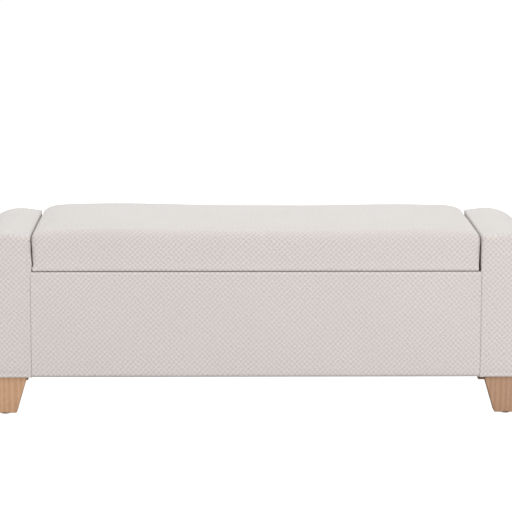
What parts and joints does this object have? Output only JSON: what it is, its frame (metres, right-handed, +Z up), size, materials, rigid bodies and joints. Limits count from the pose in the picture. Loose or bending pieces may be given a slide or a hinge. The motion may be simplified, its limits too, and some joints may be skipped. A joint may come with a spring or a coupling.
{
  "type": "storage ottoman bench",
  "caption": "Long upholstered storage bench: padded lift-up lid between two rounded arms, over a box on tapered wooden feet.",
  "frame": {"origin": "centre of the bench's bounding box, on the floor", "axes": "+X to the right seen from the front and along the length, +Y from the front to the back, +Z up"},
  "size_m": [1.397, 0.432, 0.457],
  "materials": {
    "cream_fabric": "matte",
    "black_lining": "matte",
    "plywood": "matte",
    "light_oak": "satin",
    "zinc_steel": "satin",
    "black_plastic": "matte",
    "black_rubber": "matte"
  },
  "bodies": {
    "base": {"back_board": "plywood", "back_cover": "cream_fabric", "back_left_foot": "light_oak", "back_left_foot_bolt": "zinc_steel", "back_left_glide": "black_rubber", "back_right_foot": "light_oak", "back_right_foot_bolt": "zinc_steel", "back_right_glide": "black_rubber", "base_board": "plywood", "dust_cover": "black_lining", "front_board": "plywood", "front_cover": "cream_fabric", "front_left_foot": "light_oak", "front_left_foot_bolt": "zinc_steel", "front_left_glide": "black_rubber", "front_rail": "plywood", "front_right_foot": "light_oak", "front_right_foot_bolt": "zinc_steel", "front_right_glide": "black_rubber", "hinge_lower_leaf": "zinc_steel", "hinge_pin": "zinc_steel", "hinge_rail": "plywood", "left_arm_back_board": "plywood", "left_arm_cover": "cream_fabric", "left_arm_front_board": "plywood", "left_arm_inner_board": "plywood", "left_arm_outer_board": "plywood", "left_arm_top_board": "plywood", "left_end_board": "plywood", "left_stay_base_bracket": "zinc_steel", "left_stay_damper": "black_plastic", "right_arm_back_board": "plywood", "right_arm_cover": "cream_fabric", "right_arm_front_board": "plywood", "right_arm_inner_board": "plywood", "right_arm_outer_board": "plywood", "right_arm_top_board": "plywood", "right_end_board": "plywood", "right_stay_base_bracket": "zinc_steel", "right_stay_damper": "black_plastic", "storage_lining": "black_lining"},
    "lid": {"lid_board": "plywood", "lid_cushion": "cream_fabric", "lid_lining": "black_lining", "left_lid_bumper": "black_rubber", "right_lid_bumper": "black_rubber", "hinge_upper_leaf": "zinc_steel", "left_stay_lid_bracket": "zinc_steel", "right_stay_lid_bracket": "zinc_steel"},
    "left_lower_arm": {"left_stay_lower_arm": "zinc_steel"},
    "left_upper_arm": {"left_stay_upper_arm": "zinc_steel"},
    "right_lower_arm": {"right_stay_lower_arm": "zinc_steel"},
    "right_upper_arm": {"right_stay_upper_arm": "zinc_steel"}
  },
  "joints": [
    {"name": "lid_hinge", "type": "hinge", "parent": "base", "child": "lid", "pos_m": [0, 0.2128, 0.359], "axis": [-1, 0, 0], "range_deg": [0, 88]},
    {"name": "left_stay_base_pivot", "type": "hinge", "parent": "base", "child": "left_lower_arm", "pos_m": [-0.5321, 0.1508, 0.287], "axis": [-1, 0, 0], "range_deg": [0, 88]},
    {"name": "left_stay_lid_pivot", "type": "hinge", "parent": "lid", "child": "left_upper_arm", "pos_m": [-0.5321, 0.0978, 0.3425], "axis": [-1, 0, 0], "range_deg": [-88, 0]},
    {"name": "right_stay_base_pivot", "type": "hinge", "parent": "base", "child": "right_lower_arm", "pos_m": [0.5321, 0.1508, 0.287], "axis": [-1, 0, 0], "range_deg": [0, 88]},
    {"name": "right_stay_lid_pivot", "type": "hinge", "parent": "lid", "child": "right_upper_arm", "pos_m": [0.5321, 0.0978, 0.3425], "axis": [-1, 0, 0], "range_deg": [-88, 0]}
  ],
  "couplings": [
    {"joint": "left_stay_base_pivot", "follows": "lid_hinge", "ratio": 1},
    {"joint": "left_stay_lid_pivot", "follows": "lid_hinge", "ratio": -1},
    {"joint": "right_stay_base_pivot", "follows": "lid_hinge", "ratio": 1},
    {"joint": "right_stay_lid_pivot", "follows": "lid_hinge", "ratio": -1}
  ]
}
